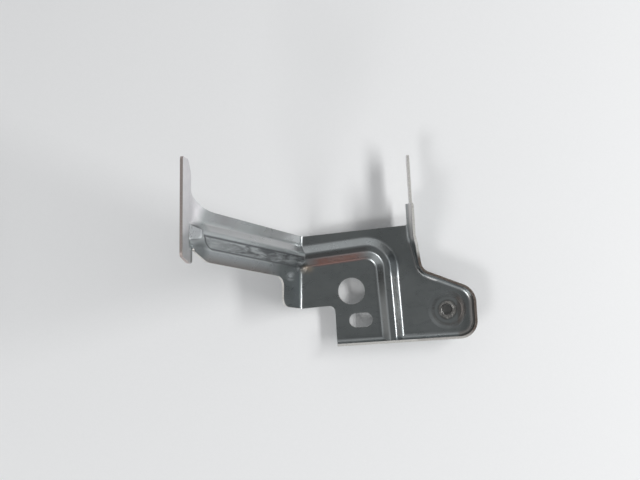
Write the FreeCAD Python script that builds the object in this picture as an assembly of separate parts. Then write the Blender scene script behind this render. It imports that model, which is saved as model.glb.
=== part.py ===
import FreeCAD, Part
import math
import os

from FreeCAD import Placement, Rotation, Vector

# A stamped sheet-steel bracket and the weld nut on its back, in millimetres.
# The main plate lies level with its face up, and its back is at Z = 0. The origin is the middle
# of the round hole. X runs along the bottom edge towards the nut, Y towards the top edge.

# Sheet
sheet = 1.5                  # thickness, the same everywhere
cut_margin = 8.0             # how far cutting shapes run past the metal

# Main plate outline
plate_left = -10.5           # edge below the step, beside the slot
plate_bottom = -32.2         # outside of the bottom lip
step_y = -8.0                # lower edge of the plate between the step and the fold
step_corner_r = 3.6
top_edge_y = 37.3            # top edge, where it meets the side wall
ear_left = 35.6              # the wall's fold stands up beyond the top edge as a narrow ear
ear_top = 50.0
ear_root_r = 0.8

# Round lobe that carries the nut
lobe_right = 73.6
lobe_top_right_y = -3.1      # where the sloping edge would meet the right side
lobe_top_r = 12.0
lobe_bottom_r = 10.5
lobe_throat_x = 43.0         # where the sloping edge would meet the foot of the wall
lobe_throat_y = 10.3
lobe_throat_r = 7.0

# Rim: a side wall that runs down into a low lip round the lobe and along the bottom
rim_inner_r = 3.2            # fold radius inside
lip_height = 6.4             # top of the lip above the back of the plate
wall_x = 38.7                # outside of the side wall
wall_lean_y = 31.0           # below this the wall leans outwards
wall_lean_r = 4.0
wall_height = 20.0
wall_corner_r = 3.5
wall_run_top_y = 27.0        # the wall's top starts to fall here
wall_run_low_y = 13.5        # and has come down to the lip here
wall_run_r = 5.0
finger_tip_y = 78.7
finger_low = 5.2             # the finger's lower and upper edges
finger_high = 11.4
finger_tip_r = 3.0
finger_root_r = 1.5

# Long fold between the plate and the arm, and what it leads to
fold_lean = 4.0              # degrees that the fold line leans from Y
fold_at = 30.1               # distance of the sharp fold line from the origin
fold_angle = 52.0            # degrees that the arm rises from the plate
fold_inner_r = 3.0
fold_low = -10.7             # lower and upper ends of the fold, along it
fold_high = 32.5

# Arm and end flange, seen along the plate: distance along the fold, and height
tongue_top = 14.2            # short step at the foot of the arm
tongue_side = -8.6
tongue_r = 5.5
arm_low_foot = 8.6           # lower edge of the arm at the height of the tongue
arm_low_root_r = 6.5
arm_low_end = 18.2
arm_low_end_z = 64.2
arm_low_end_r = 10.0
arm_high_end = 45.9          # upper edge of the arm, where it starts to flare
arm_high_end_z = 65.6
arm_high_end_r = 20.0
relief_along = 25.2          # round relief at the end of the notch between arm and flange
relief_z = 73.0
relief_r = 1.1
flange_at = 87.1             # inside of the flange, its distance from the origin
flange_root_z = 75.8
flange_top = 101.5
flange_low = 17.6            # lower end of the flange at its root and at its top
flange_low_tip = 22.0
flange_high = 71.8
flange_inner_r = 16.0
flange_heel_r = 1.8
flange_low_r = 3.0
flange_tip_r = 2.5
flange_high_r = 9.0
flange_throat = 55.0         # end of the flare at the flange's root
flange_throat_r = 5.0

# Pressed bead: an L on the plate, and a straight run up the arm that runs out into its bend
bead_flat_half = 1.05
bead_height = 4.5
bead_slope = 45.0
bead_crown_r = 2.0
bead_foot_r = 2.5
bead_fold_at = 20.1          # where its middle crosses the fold
bead_corner_x = 21.6
bead_corner_y = 26.1
bead_corner_r = 12.5
bead_foot_x = 23.2           # its middle at the bottom lip
bead_crown_end = 83.3        # end of its crown, distance from the origin
bead_run_out = 12.0          # slope from there down into the bend, degrees

# Boss round the nut's hole
boss_x = 56.7
boss_y = -14.8
boss_flat_r = 7.95
boss_height = 0.8
boss_slope = 13.0
boss_crown_r = 2.0
boss_foot_r = 1.0

# Holes in the plate
hole_d = 16.0
slot_x = 4.6
slot_y = -17.7
slot_length = 14.0
slot_width = 8.6

# Weld nut, hexagonal, with a collar in the boss's hole
nut_across_flats = 13.7
nut_height = 6.5
nut_chamfer = 30.0           # degrees, on the free end's corners
nut_bore_d = 6.8
nut_bore_chamfer = 0.6
collar_d = 10.5
collar_height = 1.2
collar_gap = 0.1             # between the collar and its hole, all round

along = Vector(math.sin(math.radians(fold_lean)), math.cos(math.radians(fold_lean)), 0)
out = Vector(-along.y, along.x, 0)
up = Vector(0, 0, 1)
fold_half = math.radians(fold_angle) / 2
slope_of_arm = math.tan(math.radians(fold_angle))

# Middle of the bend between the arm and the flange, and the relief's place round it
arm_end_z = sheet + (flange_at - fold_at) * slope_of_arm
bend_z = arm_end_z + flange_inner_r * math.tan(math.pi / 4 - fold_half)
relief_in_bend = math.sqrt(flange_inner_r ** 2 - (bend_z - relief_z) ** 2)
relief_out = flange_at - flange_inner_r + relief_in_bend


def rounded(corners):
    """Closed wire through corners (x, y, radius) in the XY plane, each rounded by its radius."""
    points = [Vector(x, y, 0) for x, y, _ in corners]
    ends = []
    for i, (_, _, radius) in enumerate(corners):
        corner = points[i]
        back = (points[i - 1] - corner).normalize()
        ahead = (points[(i + 1) % len(points)] - corner).normalize()
        half = back.getAngle(ahead) / 2
        if radius == 0:
            ends.append((corner, corner, corner))
            continue
        reach = radius / math.tan(half)
        middle = (back + ahead).normalize() * (radius / math.sin(half) - radius)
        ends.append((corner + back * reach, corner + middle, corner + ahead * reach))
    edges = []
    for i, (start, mid, end) in enumerate(ends):
        if start != end:
            edges.append(Part.Arc(start, mid, end).toShape())
        following = ends[(i + 1) % len(ends)][0]
        if end.distanceToPoint(following) > 1e-6:
            edges.append(Part.LineSegment(end, following).toShape())
    return Part.Wire(edges)


def prism(corners, low, high):
    """Upright solid with a rounded outline, between two heights."""
    face = Part.Face(rounded(corners))
    face.translate(Vector(0, 0, low))
    return face.extrude(Vector(0, 0, high - low))


def placed(shape, origin, x_dir, y_dir):
    """The shape drawn in the XY plane, moved to an origin with its X and Y along two directions."""
    turned = Rotation(x_dir, y_dir, x_dir.cross(y_dir), "XYZ")
    shape.Placement = Placement(origin, turned)
    return shape


def on_plate(along_fold, from_origin, z=0.0):
    """Point given along the fold and square to it, at a height."""
    return along * along_fold + out * from_origin + up * z


def half_ridge(flat_half, height, slope, crown_r, foot_r, skin, depth):
    """Corners of half a pressed ridge, from its crown outwards and down to a depth under the sheet.

    The face of the sheet is at 0. skin is 0 for the face and the thickness for the back, so that
    the wall keeps its thickness over the ridge.
    """
    half = math.radians(slope) / 2
    crown_x = flat_half + (crown_r - skin) * math.tan(half)
    foot_x = crown_x + height / math.tan(2 * half)
    end_x = foot_x + (foot_r + skin) * math.tan(half) + 0.4 * foot_r
    return [
        (crown_x, height - skin, crown_r - skin),
        (foot_x, -skin, foot_r + skin),
        (end_x, -skin, 0),
        (end_x, -skin - depth, 0),
    ]


def bead_half(skin, depth):
    return half_ridge(bead_flat_half, bead_height, bead_slope, bead_crown_r, bead_foot_r, skin, depth)


def bead_section(skin, depth):
    right = bead_half(skin, depth)
    left = [(-x, z, radius) for x, z, radius in reversed(right)]
    return rounded(left + right)


def ridge_of_turn(half, angle):
    """Ridge turned about its own middle."""
    top = half[0][1]
    bottom = half[-1][1]
    face = Part.Face(rounded([(0, bottom, 0), (0, top, 0)] + half))
    face.rotate(Vector(0, 0, 0), Vector(1, 0, 0), 90)
    return face.revolve(Vector(0, 0, 0), Vector(0, 0, 1), angle)


def tray():
    """Face and back of the plate with its rim, before the rim is cut to height."""
    left = -fold_at - 2 * cut_margin
    corners = [
        (left, plate_bottom, 0),
        (lobe_right, plate_bottom, lobe_bottom_r),
        (lobe_right, lobe_top_right_y, lobe_top_r),
        (lobe_throat_x, lobe_throat_y, lobe_throat_r),
        (wall_x, wall_lean_y, wall_lean_r),
        (wall_x, finger_tip_y + cut_margin, 0),
        (left, finger_tip_y + cut_margin, 0),
    ]
    inside = Part.Face(rounded(corners)).makeOffset2D(-sheet)
    inside.translate(Vector(0, 0, sheet))
    back = prism(corners, 0, wall_height + cut_margin)
    face = inside.extrude(Vector(0, 0, wall_height + 2 * cut_margin))
    back = round_foot(back, rim_inner_r + sheet)
    face = round_foot(face, rim_inner_r)
    return back, face


def round_foot(solid, radius):
    """Round the lowest edges of an upright solid."""
    low = solid.BoundBox.ZMin
    foot = [edge for edge in solid.Edges if edge.BoundBox.ZMax < low + 1e-4]
    return solid.makeFillet(radius, foot)


def plate_outline():
    """Upright solid with the plate's own outline, from the fold to the lobe."""
    start = fold_at - fold_inner_r * math.tan(fold_half)
    low = on_plate(fold_low, start)
    high = on_plate(fold_high, start)
    corners = [
        (low.x, low.y, 0),
        (plate_left, step_y, step_corner_r),
        (plate_left, plate_bottom - cut_margin, 0),
        (lobe_right + cut_margin, plate_bottom - cut_margin, 0),
        (lobe_right + cut_margin, finger_tip_y + cut_margin, 0),
        (ear_left, finger_tip_y + cut_margin, 0),
        (ear_left, top_edge_y, ear_root_r),
        (high.x, high.y, 0),
    ]
    return prism(corners, -cut_margin, wall_height + cut_margin)


def rim_profile():
    """Side view of the rim, Y across and Z up: lip, wall and finger."""
    low = plate_bottom - cut_margin
    corners = [
        (low, -cut_margin, 0),
        (ear_top, -cut_margin, 0),
        (ear_top, finger_low, finger_root_r),
        (finger_tip_y, finger_low, finger_tip_r),
        (finger_tip_y, finger_high, finger_tip_r),
        (ear_top, finger_high, finger_root_r),
        (ear_top, wall_height, wall_corner_r),
        (wall_run_top_y, wall_height, wall_run_r),
        (wall_run_low_y, lip_height, wall_run_r),
        (low, lip_height, 0),
    ]
    face = Part.Face(rounded(corners))
    reach = fold_at + lobe_right + 4 * cut_margin
    start = Vector(-fold_at - 2 * cut_margin, 0, 0)
    return placed(face, start, Vector(0, 1, 0), up).extrude(Vector(reach, 0, 0))


def arm_band():
    """Sheet that rises from the fold as the arm and turns upright as the flange, untrimmed."""
    start = fold_at - fold_inner_r * math.tan(fold_half)
    back_fold = fold_at + sheet * math.tan(fold_half)
    flange_back = flange_at + sheet
    back_end = (flange_back - back_fold) * slope_of_arm
    top = flange_top + cut_margin
    corners = [
        (start, sheet, 0),
        (fold_at, sheet, fold_inner_r),
        (flange_at, arm_end_z, flange_inner_r),
        (flange_at, top, 0),
        (flange_back, top, 0),
        (flange_back, back_end, flange_inner_r + sheet),
        (back_fold, 0, fold_inner_r + sheet),
        (start, 0, 0),
    ]
    low = fold_low - cut_margin
    face = placed(Part.Face(rounded(corners)), along * low, out, up)
    return face.extrude(along * (flange_high + cut_margin - low))


def face_side():
    """Everything on the face side of the back of the arm and flange, to trim what is added."""
    start = fold_at - fold_inner_r * math.tan(fold_half)
    back_fold = fold_at + sheet * math.tan(fold_half)
    flange_back = flange_at + sheet
    back_end = (flange_back - back_fold) * slope_of_arm
    top = flange_top + cut_margin
    corners = [
        (start - cut_margin, 0, 0),
        (back_fold, 0, fold_inner_r + sheet),
        (flange_back, back_end, flange_inner_r + sheet),
        (flange_back, top, 0),
        (start - cut_margin, top, 0),
    ]
    low = fold_low - cut_margin
    face = placed(Part.Face(rounded(corners)), along * low, out, up)
    return face.extrude(along * (flange_high + cut_margin - low))


def flange_outline():
    """Arm and flange seen along the plate: a solid that cuts all but the arm's low side."""
    below = -cut_margin
    corners = [
        (fold_low - cut_margin, below, 0),
        (fold_low - cut_margin, relief_z, 0),
        (relief_along, relief_z, 0),
        (flange_low, flange_root_z - sheet, flange_heel_r),
        (flange_low_tip, flange_top, flange_low_r),
        (flange_high, flange_top, flange_tip_r),
        (flange_high, flange_root_z, flange_high_r),
        (flange_throat, flange_root_z, flange_throat_r),
        (arm_high_end, arm_high_end_z, arm_high_end_r),
        (fold_high, sheet, 0),
        (fold_high, below, 0),
    ]
    face = placed(Part.Face(rounded(corners)), Vector(0, 0, 0), along, up)
    return face.extrude(out * (flange_at + cut_margin))


def tongue_outline():
    """Arm seen square to its own face: a solid that cuts its low side and the tongue."""
    rise = math.radians(fold_angle)
    up_arm = out * math.cos(rise) + up * math.sin(rise)
    tongue_end = (tongue_top - sheet) / math.sin(rise)
    slant_start = (arm_low_end_z - sheet) / math.sin(rise)
    slant_end = (relief_out - fold_at) * math.cos(rise) + (relief_z - sheet) * math.sin(rise)
    back_in_bend = math.sqrt((flange_inner_r + sheet) ** 2 - (bend_z - relief_z) ** 2)
    notch_end = slant_end + (back_in_bend - relief_in_bend) * math.cos(rise)
    far = (flange_top + cut_margin) / math.sin(rise)
    wide = flange_high + cut_margin
    corners = [
        (fold_low, -cut_margin, 0),
        (fold_low, 0, 0),
        (tongue_side, tongue_end, tongue_r),
        (arm_low_foot, tongue_end, arm_low_root_r),
        (arm_low_end, slant_start, arm_low_end_r),
        (relief_along - relief_r / 2, slant_end - relief_r / 2, 0),
        (relief_along - 0.7 * relief_r, notch_end, 0),
        (flange_low - cut_margin, notch_end, 0),
        (flange_low - cut_margin, far, 0),
        (wide, far, 0),
        (wide, -cut_margin, 0),
    ]
    depth = flange_top
    normal = along.cross(up_arm)
    origin = on_plate(0, fold_at, sheet) - normal * depth
    face = placed(Part.Face(rounded(corners)), origin, along, up_arm)
    return face.extrude(normal * 2 * depth)


def relief():
    """Round hole that ends the notch beside the flange, square to the sheet in its bend."""
    square = (out * relief_in_bend - up * (bend_z - relief_z)).normalize()
    middle = on_plate(relief_along - relief_r / 2, relief_out, relief_z)
    return Part.makeCylinder(relief_r, 6 * sheet, middle - square * 3 * sheet, square)


def fold_side(toward_plate):
    """Half of space, cut off by the plane that halves the angle of the fold."""
    size = 400.0
    rise = math.pi / 2 - fold_half
    lean = up * math.sin(rise) - out * math.cos(rise)
    square = along.cross(lean)
    origin = on_plate(0, fold_at, sheet) - along * size / 2 - lean * size / 2
    face = placed(Part.makePlane(size, size), origin, along, lean)
    normal = -out if toward_plate else out
    if square.dot(normal) < 0:
        square = -square
    return face.extrude(square * size)


def plate_bead(skin, depth, end_y):
    """Bead on the plate: from the fold to its corner, round it and down to the bottom."""
    fold_point = on_plate(bead_fold_at, fold_at)
    corner = Vector(bead_corner_x, bead_corner_y, 0)
    foot = Vector(bead_foot_x, plate_bottom, 0)
    first = (corner - fold_point).normalize()
    last = (foot - corner).normalize()
    start = fold_point - first * 2 * bead_height
    end = corner + last * ((end_y - corner.y) / last.y)
    half = (-first).getAngle(last) / 2
    reach = bead_corner_r / math.tan(half)
    middle = (last - first).normalize() * (bead_corner_r / math.sin(half) - bead_corner_r)
    turn_start = corner - first * reach
    turn_end = corner + last * reach
    path = Part.Wire([
        Part.LineSegment(start, turn_start).toShape(),
        Part.Arc(turn_start, corner + middle, turn_end).toShape(),
        Part.LineSegment(turn_end, end).toShape(),
    ])
    section = placed(bead_section(skin, depth), start, first.cross(up), up)
    ridge = path.makePipeShell([section], True, False)
    ridge.translate(Vector(0, 0, sheet))
    return ridge.common(fold_side(True))


def arm_bead(skin, depth):
    """Bead up the arm, from the fold until it runs out into the bend."""
    rise = math.radians(fold_angle)
    first = Vector(bead_corner_x, bead_corner_y, 0) - on_plate(bead_fold_at, fold_at)
    turn = math.atan2(first.dot(along), -first.dot(out))
    up_arm = out * math.cos(rise) + up * math.sin(rise)
    ahead = up_arm * math.cos(turn) + along * math.sin(turn)
    normal = up * math.cos(rise) - out * math.sin(rise)
    across = ahead.cross(normal)
    fold_point = on_plate(bead_fold_at, fold_at, sheet)
    length = (bead_crown_end - fold_at) / (math.cos(rise) * math.cos(turn))
    fall = math.radians(bead_run_out)
    start = fold_point - ahead * 2 * bead_height
    run = Part.Face(placed(bead_section(skin, depth), start, across, normal))
    run = run.extrude(ahead * (length + 2 * bead_height + bead_height / math.tan(fall)))
    downhill = ahead * math.cos(fall) - normal * math.sin(fall)
    square = normal * math.cos(fall) + ahead * math.sin(fall)
    top = fold_point + ahead * length + normal * bead_height - square * skin
    size = 4 * length
    above = Part.makePlane(size, size)
    above = placed(above, top - across * size / 2 - downhill * size / 2, across, downhill)
    run = run.cut(above.extrude(square * size))
    return run.common(fold_side(False))


def boss(skin, depth):
    half = half_ridge(boss_flat_r, boss_height, boss_slope, boss_crown_r, boss_foot_r, skin, depth)
    ring = ridge_of_turn(half, 360)
    ring.translate(Vector(boss_x, boss_y, sheet))
    return ring


def slot_cut():
    half_x = slot_length / 2
    half_y = slot_width / 2
    corners = [
        (slot_x - half_x, slot_y - half_y, half_y),
        (slot_x + half_x, slot_y - half_y, half_y),
        (slot_x + half_x, slot_y + half_y, half_y),
        (slot_x - half_x, slot_y + half_y, half_y),
    ]
    return prism(corners, -cut_margin, cut_margin)


def bracket():
    back, face = tray()
    rim = back.cut(face).common(rim_profile())
    body = rim.common(plate_outline())
    arm = arm_band().common(flange_outline()).common(tongue_outline()).cut(relief())
    body = body.fuse(arm)
    sunk = sheet / 2
    plate_ridge = plate_bead(0, sunk, plate_bottom - cut_margin).common(back)
    arm_ridge = arm_bead(0, sunk).common(face_side())
    body = body.fuse([plate_ridge, arm_ridge, boss(0, sunk)])
    lip_fold_y = plate_bottom + sheet + rim_inner_r
    groove = plate_bead(sheet, cut_margin, lip_fold_y)
    groove_end = plate_bead(sheet, cut_margin, plate_bottom + sheet).common(face)
    body = body.cut([groove, groove_end, arm_bead(sheet, cut_margin), boss(sheet, cut_margin)])
    holes = [
        Part.makeCylinder(hole_d / 2, 2 * cut_margin, Vector(0, 0, -cut_margin)),
        Part.makeCylinder(collar_d / 2 + collar_gap, 2 * cut_margin, Vector(boss_x, boss_y, -cut_margin)),
        slot_cut(),
    ]
    return body.cut(holes).removeSplitter()


def weld_nut():
    """Nut with its seat against the back of the boss and its collar in the hole."""
    seat = boss_height
    corner_r = nut_across_flats / math.sqrt(3)
    free_end = seat - nut_height
    ring = [Vector(corner_r * math.cos(math.radians(60 * i)), corner_r * math.sin(math.radians(60 * i)), 0)
            for i in range(7)]
    hexagon = Part.Face(Part.makePolygon(ring)).extrude(Vector(0, 0, nut_height))
    hexagon.translate(Vector(0, 0, free_end))
    flat_r = 0.96 * nut_across_flats / 2
    wide = flat_r + nut_height / math.tan(math.radians(nut_chamfer))
    cone = Part.makeCone(flat_r, wide, nut_height, Vector(0, 0, free_end))
    collar = Part.makeCylinder(collar_d / 2, nut_height + collar_height, Vector(0, 0, free_end))
    nut = hexagon.common(cone).fuse(collar)
    bore_r = nut_bore_d / 2
    top = seat + collar_height
    bore = Part.makeCylinder(bore_r, 4 * nut_height, Vector(0, 0, -2 * nut_height))
    mouth = Part.makeCone(bore_r, bore_r + nut_bore_chamfer, nut_bore_chamfer,
                          Vector(0, 0, top - nut_bore_chamfer))
    tail = Part.makeCone(bore_r + nut_bore_chamfer, bore_r, nut_bore_chamfer, Vector(0, 0, free_end))
    nut = nut.cut([bore, mouth, tail]).removeSplitter()
    nut.translate(Vector(boss_x, boss_y, 0))
    return nut


def write(name, shape):
    solids = shape.Solids
    assert len(solids) == 1, name
    assert solids[0].isValid(), name
    solids[0].exportStep("parts/" + name + ".step")


os.makedirs("parts", exist_ok=True)
write("bracket", bracket())
write("weld_nut", weld_nut())
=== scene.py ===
from math import cos, radians, sin

import bmesh
import bpy
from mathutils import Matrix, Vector


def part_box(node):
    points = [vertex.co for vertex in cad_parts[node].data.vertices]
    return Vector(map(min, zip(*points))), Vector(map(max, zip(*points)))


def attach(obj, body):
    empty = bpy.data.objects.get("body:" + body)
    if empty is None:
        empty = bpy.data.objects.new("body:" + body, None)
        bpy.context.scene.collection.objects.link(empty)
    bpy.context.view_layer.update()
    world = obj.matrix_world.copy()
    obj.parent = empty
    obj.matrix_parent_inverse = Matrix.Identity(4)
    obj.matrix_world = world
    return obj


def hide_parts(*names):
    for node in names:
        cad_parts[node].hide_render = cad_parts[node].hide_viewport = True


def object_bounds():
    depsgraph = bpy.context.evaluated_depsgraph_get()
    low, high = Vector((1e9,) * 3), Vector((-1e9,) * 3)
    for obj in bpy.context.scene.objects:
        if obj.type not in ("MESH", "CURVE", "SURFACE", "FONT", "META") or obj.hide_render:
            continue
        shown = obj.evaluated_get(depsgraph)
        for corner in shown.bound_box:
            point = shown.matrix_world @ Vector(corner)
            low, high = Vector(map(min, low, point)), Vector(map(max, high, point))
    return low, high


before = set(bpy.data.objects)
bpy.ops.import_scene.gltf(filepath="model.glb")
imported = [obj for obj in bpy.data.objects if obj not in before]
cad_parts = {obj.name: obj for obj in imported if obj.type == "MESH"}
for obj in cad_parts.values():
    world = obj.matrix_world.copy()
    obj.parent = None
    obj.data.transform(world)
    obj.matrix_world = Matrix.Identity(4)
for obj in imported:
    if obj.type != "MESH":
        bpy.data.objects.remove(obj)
cad_low, cad_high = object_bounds()


# The bracket is one stamping of bare cold-rolled sheet, 1.5 mm thick, cut, pressed and folded.
# Its two sides keep the pressed shape. The sheared edge round them gets its own finish, and every
# corner between side and edge is broken by 0.12 mm, as handling and oil leave it.
bracket_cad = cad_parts["bracket"]
corner_break = 0.00012
same_point = 0.000002
sliver = 0.000003
sheared_turn = radians(45)
corner_turn = radians(35)
nearly_level = 0.1
pressed_side, sheared_edge, broken_corner = range(3)

stamping = bmesh.new()
stamping.from_mesh(bracket_cad.data)
bmesh.ops.remove_doubles(stamping, verts=stamping.verts, dist=same_point)
stamping.normal_update()


def smooth_areas(solid, turn):
    """Groups the faces of a solid into areas that no edge sharper than the turn crosses."""
    waiting = set(solid.faces)
    areas = []
    while waiting:
        first = waiting.pop()
        area = [first]
        for face in area:
            for edge in face.edges:
                if edge.calc_face_angle(0.0) < turn:
                    for other in edge.link_faces:
                        if other in waiting:
                            waiting.remove(other)
                            area.append(other)
        areas.append(area)
    return areas


# The two largest areas are the sheet's sides, and all the others are cut through its thickness.
sides_and_edges = sorted(
    smooth_areas(stamping, sheared_turn),
    key=lambda area: sum(face.calc_area() for face in area))
for area in sides_and_edges[:-2]:
    for face in area:
        face.material_index = sheared_edge

# How the sheet lies at each point, kept so that shear marks can run straight through its thickness.
through = stamping.verts.layers.float_vector.new("through_sheet")
for point in stamping.verts:
    lie = Vector((0, 0, 0))
    for face in point.link_faces:
        if face.material_index == pressed_side:
            lie += face.normal * face.calc_area()
    if lie.length > 0:
        lie.normalize()
        if lie.z < -nearly_level or (abs(lie.z) <= nearly_level and lie.x < 0):
            lie.negate()
    point[through] = lie

corners = [edge for edge in stamping.edges if edge.calc_face_angle(0.0) > corner_turn]
bmesh.ops.bevel(
    stamping, geom=corners, offset=corner_break, offset_type="OFFSET", segments=2,
    profile=0.5, affect="EDGES", clamp_overlap=True, material=broken_corner)
bmesh.ops.dissolve_degenerate(stamping, edges=stamping.edges, dist=sliver)
for face in stamping.faces:
    face.smooth = True

bracket_mesh = bpy.data.meshes.new("bracket_sheet")
stamping.to_mesh(bracket_mesh)
stamping.free()
bracket = bpy.data.objects.new("bracket_sheet", bracket_mesh)
bpy.context.collection.objects.link(bracket)
even_shading = bracket.modifiers.new("even_shading", "WEIGHTED_NORMAL")
even_shading.mode = "FACE_AREA_WITH_ANGLE"
even_shading.weight = 100
even_shading.keep_sharp = False


class Finish:
    """A finish being laid on: its material, its surface shader and each point's place in mm."""

    def __init__(self, name):
        self.material = bpy.data.materials.new(name)
        self.material.use_nodes = True
        self.nodes = self.material.node_tree.nodes
        self.links = self.material.node_tree.links
        self.nodes.clear()
        self.surface = self.nodes.new("ShaderNodeBsdfPrincipled")
        output = self.nodes.new("ShaderNodeOutputMaterial")
        self.links.new(self.surface.outputs["BSDF"], output.inputs["Surface"])
        on_piece = self.nodes.new("ShaderNodeTexCoord")
        millimetres = self.nodes.new("ShaderNodeVectorMath")
        millimetres.operation = "SCALE"
        millimetres.inputs["Scale"].default_value = 1000.0
        self.links.new(on_piece.outputs["Object"], millimetres.inputs[0])
        self.place = millimetres.outputs["Vector"]
        self.facing = on_piece.outputs["Normal"]

    def give(self, value, socket):
        """Sets a fixed number or vector on a socket, or links another socket to it."""
        if isinstance(value, (float, tuple)):
            socket.default_value = value
        else:
            self.links.new(value, socket)

    def vector_step(self, kind, first, second=None):
        """Adds one step of vector arithmetic and gives its node."""
        step = self.nodes.new("ShaderNodeVectorMath")
        step.operation = kind
        self.links.new(first, step.inputs[0])
        if second is not None:
            self.give(second, step.inputs["Scale"] if kind == "SCALE" else step.inputs[1])
        return step

    def steps(self, kind, values):
        """Takes values in turn through one kind of arithmetic; all but the first may be numbers."""
        total = values[0]
        for value in values[1:]:
            step = self.nodes.new("ShaderNodeMath")
            step.operation = kind
            self.links.new(total, step.inputs[0])
            self.give(value, step.inputs[1])
            total = step.outputs[0]
        return total

    def times(self, *values):
        """Multiplies values, which for masks gives where all of them hold."""
        return self.steps("MULTIPLY", values)

    def plus(self, *values):
        """Adds values."""
        return self.steps("ADD", values)

    def most(self, *values):
        """Gives the largest of the values, which for masks gives where any of them holds."""
        return self.steps("MAXIMUM", values)

    def spread(self, value, low, high, out_low=0.0, out_high=1.0):
        """Spreads the part of a value between low and high over a new range."""
        ramp = self.nodes.new("ShaderNodeMapRange")
        ramp.inputs["From Min"].default_value = low
        ramp.inputs["From Max"].default_value = high
        ramp.inputs["To Min"].default_value = out_low
        ramp.inputs["To Max"].default_value = out_high
        self.links.new(value, ramp.inputs["Value"])
        return ramp.outputs["Result"]

    def fading(self, value, low, high):
        """Gives 1 below the low value and fades to 0 at the high one."""
        return self.spread(value, low, high, 1.0, 0.0)

    def band(self, distance, low, high, soft):
        """Gives 1 between two distances and fades to 0 outside them."""
        return self.times(
            self.spread(distance, low - soft, low + soft),
            self.fading(distance, high - soft, high + soft))

    def distance(self, start, way):
        """Gives how far each point lies from a start, measured along one way."""
        offset = self.vector_step("SUBTRACT", self.place, start)
        return self.vector_step("DOT_PRODUCT", offset.outputs["Vector"], way).outputs["Value"]

    def spot(self, centre, size, soft):
        """Gives 1 inside an ellipsoid round a point, fading to 0 at its rim."""
        fitted = self.nodes.new("ShaderNodeMapping")
        fitted.vector_type = "TEXTURE"
        fitted.inputs["Location"].default_value = centre
        fitted.inputs["Scale"].default_value = size
        self.links.new(self.place, fitted.inputs["Vector"])
        from_centre = self.vector_step("LENGTH", fitted.outputs["Vector"])
        return self.spread(from_centre.outputs["Value"], 1.0, 1.0 - soft)

    def noise(self, per_mm, detail=3.0, rough=0.5, stretch=None, twist=0.0, place=None):
        """Adds a noise pattern of the given fineness, stretched along the sheet where asked."""
        place = place or self.place
        if stretch is not None:
            stretched = self.nodes.new("ShaderNodeMapping")
            stretched.inputs["Scale"].default_value = stretch
            self.links.new(place, stretched.inputs["Vector"])
            place = stretched.outputs["Vector"]
        pattern = self.nodes.new("ShaderNodeTexNoise")
        pattern.inputs["Scale"].default_value = per_mm
        pattern.inputs["Detail"].default_value = detail
        pattern.inputs["Roughness"].default_value = rough
        pattern.inputs["Distortion"].default_value = twist
        self.links.new(place, pattern.inputs["Vector"])
        return pattern.outputs["Fac"]

    def blend(self, amount, first, second):
        """Blends two colours by an amount; each is a socket or a fixed colour."""
        mix = self.nodes.new("ShaderNodeMix")
        mix.data_type = "RGBA"
        self.links.new(amount, mix.inputs["Factor"])
        for colour, socket in ((first, mix.inputs["A"]), (second, mix.inputs["B"])):
            self.give((*colour, 1.0) if isinstance(colour, tuple) else colour, socket)
        return mix.outputs["Result"]

    def coat(self, under, where, amount, colour):
        """Lays painted shade and painted light of a colour over what lies under it, as strong as
        the amount.
        """
        return self.blend(self.times(where, amount), under, colour)

    def bump(self, height, depth_mm, before=None):
        """Raises the surface by a pattern; bumps can be chained."""
        relief = self.nodes.new("ShaderNodeBump")
        relief.inputs["Strength"].default_value = 1.0
        relief.inputs["Distance"].default_value = depth_mm / 1000.0
        self.links.new(height, relief.inputs["Height"])
        if before is not None:
            self.links.new(before, relief.inputs["Normal"])
        return relief.outputs["Normal"]

    def lay(self, colour, roughness, relief, metallic=1.0):
        """Puts the finished colour, roughness and relief on the surface."""
        self.surface.inputs["Metallic"].default_value = metallic
        self.give(colour, self.surface.inputs["Base Color"])
        self.give(roughness, self.surface.inputs["Roughness"])
        self.give(relief, self.surface.inputs["Normal"])


# The sheet's finish: dark grey mill steel with a film of oil, fine grain along the rolling
# direction and wiped smudges. Painted shade and painted highlights are laid over it below.
sheet = Finish("oiled_sheet_with_painted_light")
mill_grey = (0.365, 0.388, 0.392)
pale_mill_grey = (0.405, 0.43, 0.436)
grain_grey = (0.29, 0.30, 0.30)
brown_oil = (0.33, 0.31, 0.28)
cloudy = sheet.noise(0.055, detail=4.0, rough=0.55, twist=0.6)
grain = sheet.noise(1.0, rough=0.6, stretch=(0.5, 5.0, 5.0))
wiped = sheet.noise(0.14, detail=5.0, rough=0.62, stretch=(0.7, 1.4, 1.0), twist=1.2)
steel_tone = sheet.blend(sheet.spread(cloudy, 0.3, 0.7), mill_grey, pale_mill_grey)
grained = sheet.blend(sheet.spread(grain, 0.35, 0.7, 0.0, 0.12), steel_tone, grain_grey)
oily = sheet.blend(sheet.spread(wiped, 0.55, 0.8, 0.0, 0.18), grained, brown_oil)

# Where each point lies, in millimetres: up the arm and across its bead from where the bead crosses
# the long fold, and left, right, down and out of the plate from the middle of the round hole.
fold_crossing = (-28.62, 22.15, 1.5)
hole_middle = (0.0, 0.0, 0.0)
up_arm = (-0.597, 0.190, 0.779)
across_arm = (0.160, 0.980, -0.116)
towards_flange = (-0.9976, 0.0698, 0.0)
from_fold = sheet.distance(fold_crossing, up_arm)
beside_crown = sheet.distance(fold_crossing, across_arm)
to_left = sheet.distance(hole_middle, towards_flange)
to_right = sheet.distance(hole_middle, (1.0, 0.0, 0.0))
to_bottom = sheet.distance(hole_middle, (0.0, -1.0, 0.0))
raised = sheet.distance(hole_middle, (0.0, 0.0, 1.0))
facing_split = sheet.nodes.new("ShaderNodeSeparateXYZ")
sheet.links.new(sheet.facing, facing_split.inputs[0])
facing_right = facing_split.outputs["X"]
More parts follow.
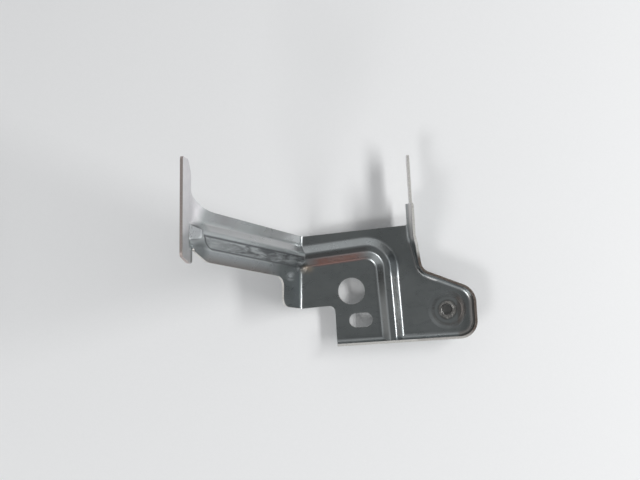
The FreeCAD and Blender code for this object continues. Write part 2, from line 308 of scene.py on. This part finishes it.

# Painted light on the bead on the arm: a painted highlight on its upper slope, painted shade
# streaked on its lower side, and a line of painted shade along its crown and its foot that curls
# round its end. Its upper edge is painted darker far up the arm and lighter near the fold.
slope_highlight_grey = (0.54, 0.545, 0.55)
far_strip_shade_grey = (0.285, 0.29, 0.295)
near_strip_highlight_grey = (0.62, 0.625, 0.63)
painted_line_black = (0.10, 0.105, 0.11)
bow = 0.25
to_nose = sheet.plus(from_fold, sheet.times(beside_crown, beside_crown, bow))
before_end = sheet.fading(to_nose, 87.0, 87.6)
painted_slope_highlight = sheet.times(
    sheet.band(beside_crown, 2.4, 6.6, 0.6),
    sheet.band(from_fold, 2.0, 84.0, 2.0))
upper_strip = sheet.spread(beside_crown, 7.0, 8.5)
painted_far_strip_shade = sheet.times(upper_strip, sheet.band(from_fold, 58.0, 80.0, 10.0))
painted_near_strip_highlight = sheet.times(
    upper_strip,
    sheet.fading(from_fold, 10.0, 45.0),
    sheet.spread(to_left, 30.9, 31.6))
oil_and_painted_light = sheet.blend(painted_slope_highlight, oily, slope_highlight_grey)
oil_and_painted_light = sheet.blend(painted_far_strip_shade, oil_and_painted_light, far_strip_shade_grey)
oil_and_painted_light = sheet.blend(painted_near_strip_highlight, oil_and_painted_light, near_strip_highlight_grey)
on_arm = sheet.nodes.new("ShaderNodeCombineXYZ")
sheet.links.new(from_fold, on_arm.inputs["X"])
sheet.links.new(beside_crown, on_arm.inputs["Y"])
arm_streaks = sheet.noise(
    0.4, detail=4.0, rough=0.6, stretch=(0.2, 1.0, 1.0), twist=0.5, place=on_arm.outputs[0])
lower_side = sheet.times(
    sheet.band(beside_crown, -6.2, 0.2, 0.5),
    sheet.spread(arm_streaks, 0.4, 0.6, 0.1, 0.95),
    sheet.spread(from_fold, 52.0, 74.0, 1.0, 0.35))
crown_line = sheet.band(beside_crown, -1.1, 0.1, 0.4)
foot_line = sheet.band(beside_crown, -6.8, -5.8, 0.4)
end_line = sheet.times(
    sheet.band(to_nose, 86.6, 87.8, 0.4),
    sheet.band(beside_crown, -6.8, 0.2, 0.4))
painted_shade_lines = sheet.times(sheet.most(crown_line, foot_line), 0.92)
painted_bead_shade = sheet.times(
    sheet.most(painted_shade_lines, lower_side),
    sheet.times(before_end, sheet.spread(from_fold, 1.0, 3.0)))
painted_bead_shade = sheet.most(painted_bead_shade, end_line)
marks_and_painted_light = sheet.blend(painted_bead_shade, oil_and_painted_light, painted_line_black)

# Painted shade on the arm: along its lower edge, and where the bead runs out beside the flange.
lower_shade_brown = (0.15, 0.138, 0.132)
lower_shade_grey = (0.25, 0.267, 0.275)
run_out_shade_grey = (0.135, 0.14, 0.145)
lower_strip = sheet.times(
    sheet.spread(from_fold, 15.0, 30.0),
    sheet.fading(beside_crown, -7.8, -6.9))
lower_shade_tone = sheet.blend(sheet.spread(beside_crown, -13.0, -8.5), lower_shade_brown, lower_shade_grey)
run_out_shade = sheet.spot((-82.0, 40.5, 76.5), (6.5, 6.0, 6.5), 0.4)
marks_and_painted_light = sheet.coat(marks_and_painted_light, lower_strip, 0.9, lower_shade_tone)
marks_and_painted_light = sheet.coat(marks_and_painted_light, run_out_shade, 0.85, run_out_shade_grey)

# Painted shade on the bead over the plate: on each slope of its run down to the lip, and along the
# crown and the foot of its run from the fold.
slope_shade_grey = (0.2, 0.2, 0.195)
bead_shade_grey = (0.23, 0.225, 0.225)
run_foot = (23.2, -32.2, 1.5)
beside_run = sheet.distance(run_foot, (0.9996, 0.0274, 0.0))
up_run = sheet.distance(run_foot, (-0.0274, 0.9996, 0.0))
shaded_slopes = sheet.times(
    sheet.most(sheet.band(beside_run, -5.6, -2.4, 0.5), sheet.band(beside_run, 2.4, 5.6, 0.5)),
    sheet.band(up_run, 2.0, 44.0, 3.0))
beside_bead = sheet.distance(fold_crossing, (-0.0784, 0.9969, 0.0))
along_bead = sheet.distance(fold_crossing, (0.9969, 0.0784, 0.0))
bead_shade = sheet.times(
    sheet.most(sheet.band(beside_bead, -2.3, 0.9, 0.4), sheet.band(beside_bead, -6.9, -5.2, 0.4)),
    sheet.band(along_bead, 2.0, 40.0, 2.0))
marks_and_painted_light = sheet.coat(marks_and_painted_light, shaded_slopes, 0.75, slope_shade_grey)
marks_and_painted_light = sheet.coat(marks_and_painted_light, bead_shade, 0.85, bead_shade_grey)

# The welded nut left marks in the boss, where its collar and its seat lie. Painted shade lies on
# the boss's far slope and along the rim of the lobe.
weld_grey = (0.22, 0.22, 0.215)
boss_shade_brown = (0.13, 0.12, 0.11)
rim_shade_brown = (0.20, 0.172, 0.155)
boss_middle = (56.7, -14.8, 1.5)
from_boss = sheet.vector_step("DISTANCE", sheet.place, boss_middle).outputs["Value"]
weld_marks = sheet.times(
    sheet.most(sheet.band(from_boss, 7.9, 9.6, 0.4), sheet.band(from_boss, 5.2, 6.2, 0.3)),
    sheet.spread(wiped, 0.4, 0.6, 0.1, 0.8))
boss_shade = sheet.times(
    sheet.band(from_boss, 8.4, 11.4, 0.5),
    sheet.spread(to_right, 57.0, 62.0))
rim_shade = sheet.times(
    sheet.spread(to_right, 62.0, 63.0),
    sheet.spread(to_bottom, 5.0, 8.0),
    sheet.spread(raised, 1.52, 1.9))
marks_and_painted_light = sheet.blend(weld_marks, marks_and_painted_light, weld_grey)
marks_and_painted_light = sheet.coat(marks_and_painted_light, boss_shade, 0.45, boss_shade_brown)
marks_and_painted_light = sheet.coat(marks_and_painted_light, rim_shade, 0.6, rim_shade_brown)

# The side wall's inner side is painted paler, as painted light, with painted shade along a line
# under its edge. Below it painted shade lies in the bend and on the corner of the lip, and the lip
# beyond that corner carries a painted highlight.
wall_highlight_pale = (0.74, 0.725, 0.72)
wall_shade_black = (0.12, 0.12, 0.12)
bend_shade_black = (0.10, 0.10, 0.10)
lip_shade_black = (0.05, 0.05, 0.05)
painted_glint_white = (0.95, 0.95, 0.95)
at_wall = sheet.times(sheet.spread(to_right, 33.0, 34.0), sheet.fading(to_right, 42.0, 44.0))
wall_painted_light = sheet.times(
    at_wall,
    sheet.fading(to_bottom, -29.0, -26.0),
    sheet.spread(raised, 2.4, 4.0),
    sheet.fading(facing_right, -0.6, -0.1))
wall_shade_line = sheet.times(wall_painted_light, sheet.band(raised, 17.2, 19.2, 0.4))
bend_shade = sheet.times(
    at_wall,
    sheet.band(to_bottom, -27.0, -10.0, 1.0),
    sheet.band(raised, 1.6, 2.45, 0.1))
lip_corner_shade = sheet.times(
    sheet.spot((41.5, 9.3, 2.2), (4.8, 3.6, 2.5), 0.5),
    sheet.spread(raised, 1.55, 1.7, 0.0, 0.9))
painted_lip_glint = sheet.times(
    sheet.spot((48.2, 4.2, 1.9), (4.5, 3.0, 1.5), 0.5),
    sheet.band(raised, 1.6, 2.0, 0.08))
marks_and_painted_light = sheet.coat(marks_and_painted_light, wall_painted_light, 0.9, wall_highlight_pale)
marks_and_painted_light = sheet.coat(marks_and_painted_light, wall_shade_line, 0.85, wall_shade_black)
marks_and_painted_light = sheet.coat(marks_and_painted_light, bend_shade, 0.8, bend_shade_black)
marks_and_painted_light = sheet.blend(lip_corner_shade, marks_and_painted_light, lip_shade_black)
marks_and_painted_light = sheet.blend(painted_lip_glint, marks_and_painted_light, painted_glint_white)

# Painted shade: at the foot of the arm and its far bend, in the dent at the fold, in the corner of
# the bead and at its end by the lip. A lighter spot lies on the tongue.
painted_shade_grey = (0.14, 0.152, 0.155)
deep_painted_shade_grey = (0.085, 0.095, 0.10)
lighter_spot_grey = (0.58, 0.60, 0.61)
arm_foot = sheet.times(
    sheet.spread(to_left, 30.7, 31.4),
    sheet.fading(from_fold, 18.0, 30.0),
    sheet.fading(beside_crown, -7.0, -4.0))
far_bend = sheet.spot((-80.7, 29.5, 70.0), (8.0, 8.5, 9.0), 0.55)
fold_dent = sheet.spot((-28.7, 16.9, 2.5), (4.0, 5.0, 5.0), 0.6)
near_fold = sheet.times(
    sheet.times(sheet.spread(to_left, 30.7, 31.3), sheet.fading(to_left, 32.0, 40.0)),
    sheet.spread(beside_crown, -8.0, -6.0, 0.65, 0.0))
bead_corner = sheet.times(sheet.spot((26.2, 15.0, 4.5), (6.8, 8.8, 6.5), 0.4), 0.85)
run_end = sheet.spot((25.2, -31.2, 3.0), (4.0, 4.0, 4.5), 0.3)
bead_ends = sheet.most(bead_corner, run_end)
lighter_spot = sheet.times(
    sheet.spot((-35.6, 11.3, 9.3), (4.5, 3.2, 5.0), 0.9),
    sheet.spread(arm_streaks, 0.4, 0.6, 0.1, 1.0))
with_painted_shade = sheet.coat(marks_and_painted_light, sheet.most(arm_foot, far_bend, fold_dent), 0.9, painted_shade_grey)
with_painted_shade = sheet.blend(sheet.most(near_fold, bead_ends), with_painted_shade, deep_painted_shade_grey)
with_painted_shade = sheet.blend(lighter_spot, with_painted_shade, lighter_spot_grey)

# A reddish painted reflection on the bead's inner slope, and a tan smudge where the fold is
# pinched.
reflection_red = (0.45, 0.25, 0.215)
smudge_tan = (0.44, 0.35, 0.26)
bead_reflection = sheet.times(
    sheet.times(sheet.band(beside_bead, -6.6, -2.2, 0.7), sheet.band(along_bead, 6.0, 36.0, 4.0)),
    sheet.spread(wiped, 0.3, 0.6, 0.6, 0.95))
fold_smudge = sheet.times(
    sheet.spot((-25.5, 14.6, 1.5), (5.0, 3.6, 4.0), 0.8),
    sheet.spread(wiped, 0.3, 0.6, 0.2, 0.8))
with_painted_reflection = sheet.blend(bead_reflection, with_painted_shade, reflection_red)
with_painted_reflection = sheet.blend(fold_smudge, with_painted_reflection, smudge_tan)

# The flange is painted paler, as painted light, and made duller than the arm, all but where the
# bead runs out on its inner side.
flange_light_pale = (0.73, 0.72, 0.735)
flange_light_grey = (0.66, 0.655, 0.67)
off_run_out = sheet.most(
    sheet.fading(sheet.band(beside_crown, -7.5, 4.2, 0.4), 0.0, 1.0),
    sheet.spread(raised, 78.6, 79.4),
    sheet.fading(facing_right, -0.3, 0.0))
slanted = sheet.distance(hole_middle, (-0.9976, 0.40, 0.0))
on_flange = sheet.times(
    sheet.most(sheet.spread(slanted, 96.4, 101.0), sheet.spread(to_left, 86.3, 86.8, 0.0, 0.7)),
    off_run_out)
flange_light_tone = sheet.blend(sheet.spread(wiped, 0.3, 0.7), flange_light_pale, flange_light_grey)
with_painted_flange_light = sheet.blend(on_flange, with_painted_reflection, flange_light_tone)

# How dull the sheet is in each of these places, and its relief: slack waves, grain and the pinch.
dull = sheet.plus(
    sheet.spread(wiped, 0.3, 0.75, 0.26, 0.32),
    sheet.spread(grain, 0.3, 0.7, -0.01, 0.02))
for where, duller in (
        (fold_smudge, 0.2), (fold_dent, 0.15), (boss_shade, -0.06), (wall_painted_light, 0.26),
        (bead_ends, 0.26), (on_flange, 0.22),
        (on_flange, sheet.spread(wiped, 0.3, 0.7, 0.08, -0.05))):
    dull = sheet.plus(dull, sheet.times(where, duller))
wave_depth, grain_depth, pinch_depth = 0.03, 0.0008, 1.6
relief = sheet.bump(sheet.noise(0.16, detail=2.0), wave_depth)
relief = sheet.bump(grain, grain_depth, relief)
pinch = sheet.times(
    sheet.spot((-28.8, 18.5, 3.0), (3.6, 7.5, 5.0), 0.7),
    sheet.noise(0.42, detail=2.0))
relief = sheet.bump(pinch, pinch_depth, relief)
sheet.lay(with_painted_flange_light, dull, relief)


# The sheared edge is torn grey metal with fine marks that run straight through the sheet. Round the
# lobe, under the wall and on the flange it carries dark brown painted shade.
edge = Finish("sheared_edge")
torn_pale = (0.80, 0.79, 0.76)
torn_grey = (0.60, 0.59, 0.57)
shear_grey = (0.40, 0.39, 0.37)
edge_shade_brown = (0.12, 0.092, 0.078)
flange_edge_shade_brown = (0.40, 0.33, 0.31)
lie = edge.nodes.new("ShaderNodeAttribute")
lie.attribute_name = "through_sheet"
depth = edge.vector_step("DOT_PRODUCT", edge.place, lie.outputs["Vector"]).outputs["Value"]
inwards = edge.vector_step("SCALE", lie.outputs["Vector"], depth).outputs["Vector"]
flattened = edge.vector_step("SUBTRACT", edge.place, inwards).outputs["Vector"]
shear_marks = edge.noise(5.0, rough=0.6, place=flattened)
torn = edge.noise(1.6, detail=4.0, rough=0.65)


def lobe_edges(finish):
    """Gives 1 on the edges round the lobe and under the side wall, above the bottom lip."""
    to_lobe = finish.distance((42.0, 0.0, 0.0), (1.0, 0.0, 0.0))
    above_lip = finish.distance((0.0, -33.0, 0.0), (0.0, 1.0, 0.0))
    under_wall = finish.times(
        finish.spread(to_lobe, -5.5, -4.0),
        finish.fading(above_lip, 50.0, 55.0))
    return finish.times(
        finish.most(finish.spread(to_lobe, 0.0, 5.0), under_wall),
        finish.spread(above_lip, 0.0, 6.0))


shaded_edges = edge.times(lobe_edges(edge), edge.spread(torn, 0.25, 0.6, 0.7, 1.0))
edge_at_flange = edge.spread(edge.distance(hole_middle, towards_flange), 85.5, 87.0)
edge_tone = edge.blend(edge.spread(torn, 0.35, 0.7), torn_pale, torn_grey)
edge_tone = edge.blend(edge.spread(shear_marks, 0.45, 0.75, 0.0, 0.4), edge_tone, shear_grey)
edge_tone = edge.blend(shaded_edges, edge_tone, edge_shade_brown)
edge_tone = edge.coat(edge_tone, edge_at_flange, 0.8, flange_edge_shade_brown)
relief = edge.bump(shear_marks, 0.03)
relief = edge.bump(torn, 0.02, relief)
edge.lay(edge_tone, edge.spread(torn, 0.3, 0.7, 0.5, 0.7), relief)

# The broken corners: rubbed brighter than the faces, with nicks where the stamping was handled.
corner = Finish("rubbed_corner_with_painted_shade")
rubbed_pale = (0.66, 0.65, 0.62)
rubbed_grey = (0.36, 0.35, 0.34)
corner_shade_brown = (0.20, 0.145, 0.12)
nicks = corner.noise(0.7, detail=4.0, rough=0.65)
corner_at_flange = corner.spread(corner.distance(hole_middle, towards_flange), 85.5, 86.5)
# Round the lobe, under the wall and at the flange the corners carry brown painted shade.
shaded_edges = corner.most(lobe_edges(corner), corner_at_flange)
corner_tone = corner.blend(corner.spread(nicks, 0.4, 0.65), rubbed_pale, rubbed_grey)
corner_tone = corner.coat(corner_tone, shaded_edges, 0.8, corner_shade_brown)
corner.lay(corner_tone, corner.spread(nicks, 0.3, 0.7, 0.22, 0.42), corner.bump(nicks, 0.03))

for finish in (sheet, edge, corner):
    bracket_mesh.materials.append(finish.material)
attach(bracket, "root")
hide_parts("bracket")


# The weld nut is a hexagon of bare steel with a round collar that sits in the boss. It is welded to
# the back of the sheet. Its bore is tapped M8 x 1.25 here, where the solid keeps a plain bore.
nut_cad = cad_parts["weld_nut"]
below_nut = 0.0011
sharp_nut_edge = radians(32)
thread_sizes = (
    ("Pitch", 0.00125), ("Bore radius", 0.0034), ("Groove depth", 0.00058), ("Length", 0.010))
groove_points_per_turn = 48
# The corners of the thread's groove, outwards and upwards from the bore, in groove depths.
groove_corners = ((1.0, 0.087), (-1.2, 1.0614), (-1.2, -1.0614), (1.0, -0.087))

nut_solid = bmesh.new()
nut_solid.from_mesh(nut_cad.data)
bmesh.ops.remove_doubles(nut_solid, verts=nut_solid.verts, dist=same_point)
plain_nut = bpy.data.meshes.new("weld_nut_body")
nut_solid.to_mesh(plain_nut)
nut_solid.free()
nut = bpy.data.objects.new("weld_nut_body", plain_nut)
bpy.context.collection.objects.link(nut)
nut_low, nut_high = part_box("weld_nut")
thread_start = (
    (nut_low.x + nut_high.x) / 2, (nut_low.y + nut_high.y) / 2, nut_low.z - below_nut)

# The tapping tree sweeps the groove along a helix in the bore and cuts it from the nut.
tapping = bpy.data.node_groups.new("tapped_thread", "GeometryNodeTree")
tapping.interface.new_socket("Nut", in_out="INPUT", socket_type="NodeSocketGeometry")
for label, size in thread_sizes:
    size_input = tapping.interface.new_socket(
        label, in_out="INPUT", socket_type="NodeSocketFloat")
    size_input.default_value = size
tapping.interface.new_socket("Start", in_out="INPUT", socket_type="NodeSocketVector")
tapping.interface.new_socket("Finish", in_out="INPUT", socket_type="NodeSocketMaterial")
tapping.interface.new_socket("Tapped nut", in_out="OUTPUT", socket_type="NodeSocketGeometry")
steps = tapping.nodes
wires = tapping.links
given = steps.new("NodeGroupInput")
result = steps.new("NodeGroupOutput")
turns = steps.new("ShaderNodeMath")
turns.operation = "DIVIDE"
wires.new(given.outputs["Length"], turns.inputs[0])
wires.new(given.outputs["Pitch"], turns.inputs[1])
helix = steps.new("GeometryNodeCurveSpiral")
helix.inputs["Resolution"].default_value = groove_points_per_turn
helix.inputs["Reverse"].default_value = True
wires.new(turns.outputs[0], helix.inputs["Rotations"])
wires.new(given.outputs["Bore radius"], helix.inputs["Start Radius"])
wires.new(given.outputs["Bore radius"], helix.inputs["End Radius"])
wires.new(given.outputs["Length"], helix.inputs["Height"])
upright = steps.new("GeometryNodeSetCurveNormal")
upright.mode = "Z_UP"
wires.new(helix.outputs["Curve"], upright.inputs["Curve"])
groove = steps.new("GeometryNodeCurvePrimitiveQuadrilateral")
groove.mode = "POINTS"
for number, groove_corner in enumerate(groove_corners, start=1):
    groove_point = steps.new("ShaderNodeCombineXYZ")
    for depths, axis in zip(groove_corner, "XY"):
        reach = steps.new("ShaderNodeMath")
        reach.operation = "MULTIPLY"
        reach.inputs[1].default_value = depths
        wires.new(given.outputs["Groove depth"], reach.inputs[0])
        wires.new(reach.outputs[0], groove_point.inputs[axis])
    wires.new(groove_point.outputs[0], groove.inputs["Point " + str(number)])
swept = steps.new("GeometryNodeCurveToMesh")
swept.inputs["Fill Caps"].default_value = True
wires.new(upright.outputs["Curve"], swept.inputs["Curve"])
wires.new(groove.outputs["Curve"], swept.inputs["Profile Curve"])
placed = steps.new("GeometryNodeTransform")
wires.new(swept.outputs["Mesh"], placed.inputs["Geometry"])
wires.new(given.outputs["Start"], placed.inputs["Translation"])
cut = steps.new("GeometryNodeMeshBoolean")
cut.operation = "DIFFERENCE"
cut.solver = "EXACT"
wires.new(given.outputs["Nut"], cut.inputs["Mesh 1"])
wires.new(placed.outputs["Geometry"], cut.inputs["Mesh 2"])
whole = steps.new("GeometryNodeRealizeInstances")
wires.new(cut.outputs["Mesh"], whole.inputs["Geometry"])
coated = steps.new("GeometryNodeSetMaterial")
wires.new(whole.outputs["Geometry"], coated.inputs["Geometry"])
wires.new(given.outputs["Finish"], coated.inputs["Material"])
wires.new(coated.outputs["Geometry"], result.inputs["Tapped nut"])

# The nut's finish: blotched grey steel with fine pits, and a chewed collar.
nut_finish = Finish("oiled_nut")
nut_grey = (0.42, 0.42, 0.41)
nut_dark = (0.30, 0.29, 0.27)
pit_brown = (0.18, 0.16, 0.14)
blotches = nut_finish.noise(0.45, detail=4.0, rough=0.6, twist=0.5)
pits = nut_finish.noise(3.5, rough=0.6)
chewed = nut_finish.noise(0.42, detail=2.0, twist=0.3)
nut_tone = nut_finish.blend(nut_finish.spread(blotches, 0.35, 0.7), nut_grey, nut_dark)
nut_tone = nut_finish.blend(nut_finish.spread(pits, 0.58, 0.72, 0.0, 0.6), nut_tone, pit_brown)
relief = nut_finish.bump(chewed, 0.9)
relief = nut_finish.bump(blotches, 0.04, relief)
relief = nut_finish.bump(pits, 0.01, relief)
nut_finish.lay(nut_tone, nut_finish.spread(blotches, 0.3, 0.7, 0.24, 0.42), relief)

tap = nut.modifiers.new("tap", "NODES")
tap.node_group = tapping
identifier = {
    item.name: item.identifier
    for item in tapping.interface.items_tree if item.in_out == "INPUT"}
tap[identifier["Start"]] = thread_start
tap[identifier["Finish"]] = nut_finish.material
tapped = bpy.data.meshes.new_from_object(
    nut.evaluated_get(bpy.context.evaluated_depsgraph_get()))
nut.modifiers.remove(tap)
nut.data = tapped
bpy.data.meshes.remove(plain_nut)
nut.data.name = "weld_nut_body"
nut.data.materials.clear()
nut.data.materials.append(nut_finish.material)
nut_edges = bmesh.new()
nut_edges.from_mesh(nut.data)
bmesh.ops.remove_doubles(nut_edges, verts=nut_edges.verts, dist=same_point / 2)
for face in nut_edges.faces:
    face.smooth = True
    face.material_index = 0
for nut_edge in nut_edges.edges:
    nut_edge.smooth = nut_edge.calc_face_angle(0.0) < sharp_nut_edge
nut_edges.to_mesh(nut.data)
nut_edges.free()
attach(nut, "root")
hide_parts("weld_nut")


# The table is a plain pale sheet of paper under the part, at the height of the bottom of its nut.
# It is not part of the bracket. Far from the part it stays pale to the eye and in the metal.
table_z = cad_low.z
table_reach = 6
table_mesh = bpy.data.meshes.new("table_top")
table_mesh.from_pydata(
    [(x * table_reach, y * table_reach, table_z) for x, y in ((-1, -1), (1, -1), (1, 1), (-1, 1))],
    [], [(0, 1, 2, 3)])
table_top = bpy.data.objects.new("table_top", table_mesh)
bpy.context.collection.objects.link(table_top)

paper = Finish("pale_paper")
paper_grey = (0.87, 0.875, 0.88)
paper_white = (0.90, 0.905, 0.91)
near_mm, far_mm, far_glow = 500.0, 2600.0, 0.38
fibre = paper.noise(0.8, rough=0.6)
paper.lay(
    paper.blend(fibre, paper_grey, paper_white), 0.8, paper.bump(fibre, 0.02), metallic=0.0)
paper.surface.inputs["Specular IOR Level"].default_value = 0.1
ray = paper.nodes.new("ShaderNodeLightPath")
in_sight = paper.most(ray.outputs["Is Camera Ray"], ray.outputs["Is Glossy Ray"])
from_part = paper.vector_step("LENGTH", paper.place).outputs["Value"]
pale_far = paper.times(in_sight, paper.spread(from_part, near_mm, far_mm, 0.0, far_glow))
paper.surface.inputs["Emission Color"].default_value = (0.98, 0.99, 1.0, 1.0)
paper.links.new(pale_far, paper.surface.inputs["Emission Strength"])
table_mesh.materials.append(paper.material)


# The studio: pale walls under a dim ceiling, and two soft windows at the sides.
studio = bpy.data.worlds.new("studio")
bpy.context.scene.world = studio
studio.use_nodes = True
studio.node_tree.nodes.clear()
sky = studio.node_tree.nodes.new("ShaderNodeBackground")
world_out = studio.node_tree.nodes.new("ShaderNodeOutputWorld")
way = studio.node_tree.nodes.new("ShaderNodeTexCoord")
split = studio.node_tree.nodes.new("ShaderNodeSeparateXYZ")
walls = studio.node_tree.nodes.new("ShaderNodeValToRGB")
studio.node_tree.links.new(way.outputs["Generated"], split.inputs["Vector"])
studio.node_tree.links.new(split.outputs["Z"], walls.inputs["Fac"])
studio.node_tree.links.new(walls.outputs["Color"], sky.inputs["Color"])
studio.node_tree.links.new(sky.outputs["Background"], world_out.inputs["Surface"])
wall_foot, ceiling = walls.color_ramp.elements
wall_foot.position = 0.0
wall_foot.color = (0.74, 0.745, 0.75, 1)
ceiling.position = 1.0
ceiling.color = (0.15, 0.155, 0.155, 1)
for height, grey in ((0.3, 0.62), (0.5, 0.48), (0.7, 0.35), (0.88, 0.19)):
    level = walls.color_ramp.elements.new(height)
    level.color = (grey, grey * 1.01, grey * 1.02, 1)


def hang_window(name, azimuth, elevation, wide, tall, power):
    """Hangs a window that lights the part, from an azimuth and elevation in degrees."""
    window = bpy.data.lights.new(name, "AREA")
    window.shape = "RECTANGLE"
    window.size = wide
    window.size_y = tall
    window.energy = power
    holder = bpy.data.objects.new(name, window)
    bpy.context.collection.objects.link(holder)
    across = radians(azimuth)
    up = radians(elevation)
    part_middle = Vector((-0.005, 0.015, 0.01))
    distance = 1.2
    offset = Vector((cos(up) * cos(across), cos(up) * sin(across), sin(up))) * distance
    holder.location = part_middle + offset
    holder.rotation_euler = (-offset).to_track_quat("-Z", "Y").to_euler()


hang_window("right_window", azimuth=0, elevation=35, wide=1.1, tall=0.17, power=10.2)
hang_window("low_left_window", azimuth=228, elevation=38, wide=0.5, tall=0.25, power=3.7)


# The camera looks straight down on the plate, turned a little, from the distance of the photograph.
focal_length_pixels = 950.0
photo_width_pixels = 640.0
sensor_mm = 36.0
lens = bpy.data.cameras.new("camera")
lens.sensor_width = sensor_mm
lens.lens = focal_length_pixels / photo_width_pixels * sensor_mm
lens.clip_start = 0.01
lens.clip_end = 50.0
camera = bpy.data.objects.new("camera", lens)
bpy.context.collection.objects.link(camera)
camera.location = (-0.0169, 0.03175, 0.5715)
camera.rotation_euler = (0.0, 0.0, radians(-3.7))
bpy.context.scene.camera = camera
bpy.context.scene.view_settings.view_transform = "Standard"
